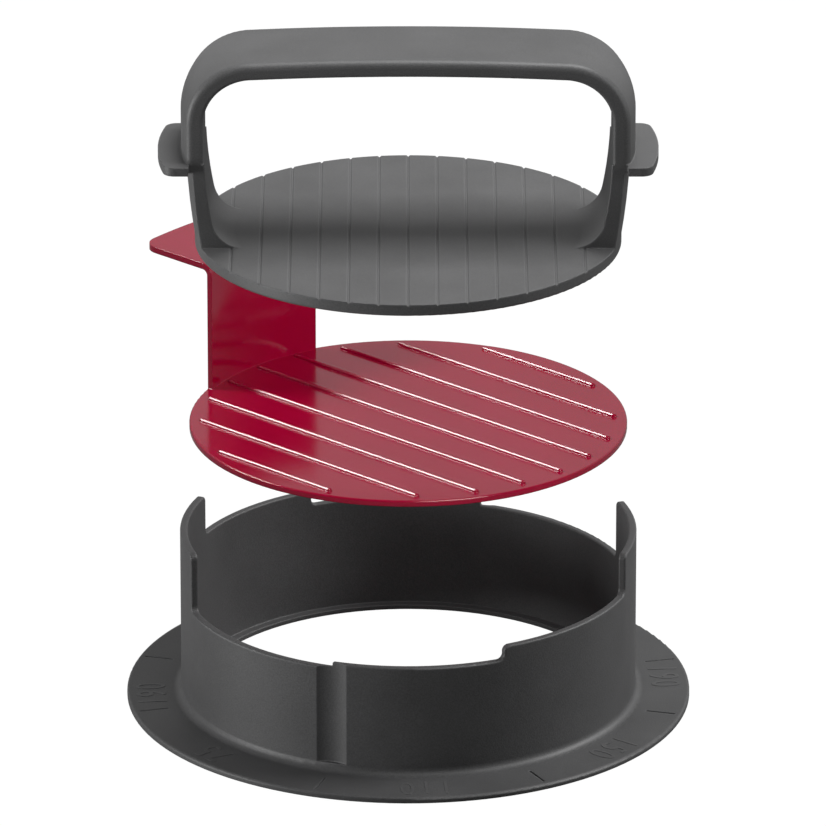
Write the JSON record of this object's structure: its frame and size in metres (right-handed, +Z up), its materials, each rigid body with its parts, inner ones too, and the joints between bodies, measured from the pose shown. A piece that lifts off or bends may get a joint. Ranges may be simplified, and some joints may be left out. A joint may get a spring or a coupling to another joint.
{
  "type": "adjustable burger press",
  "caption": "Round patty press: stepped ring on a wide flange, ribbed lifter plate with a thumb tab, and a grooved press plate with an arched handle and two stop wings.",
  "frame": {"origin": "centre of the ring's flat underside, on the table", "axes": "+Z up, +X along the handle to the right as seen from the front, -Y towards the viewer"},
  "size_m": [0.1434, 0.1434, 0.1753],
  "materials": {
    "ring_plastic": "fine spark-eroded grain, anthracite",
    "red_plastic": "glossy translucent red",
    "press_plastic": "fine satin grain, anthracite"
  },
  "bodies": {
    "ring_body": {"base_ring": "ring_plastic"},
    "lifter_body": {"lifter": "red_plastic"},
    "press_body": {"press": "press_plastic"}
  },
  "joints": [
    {"name": "lifter_lift", "type": "slide", "parent": "ring_body", "child": "lifter_body", "axis": [0, 0, 1], "range_m": [-0.0715, 0]},
    {"name": "press_lift", "type": "slide", "parent": "lifter_body", "child": "press_body", "axis": [0, 0, 1], "range_m": [-0.029, 0]}
  ]
}
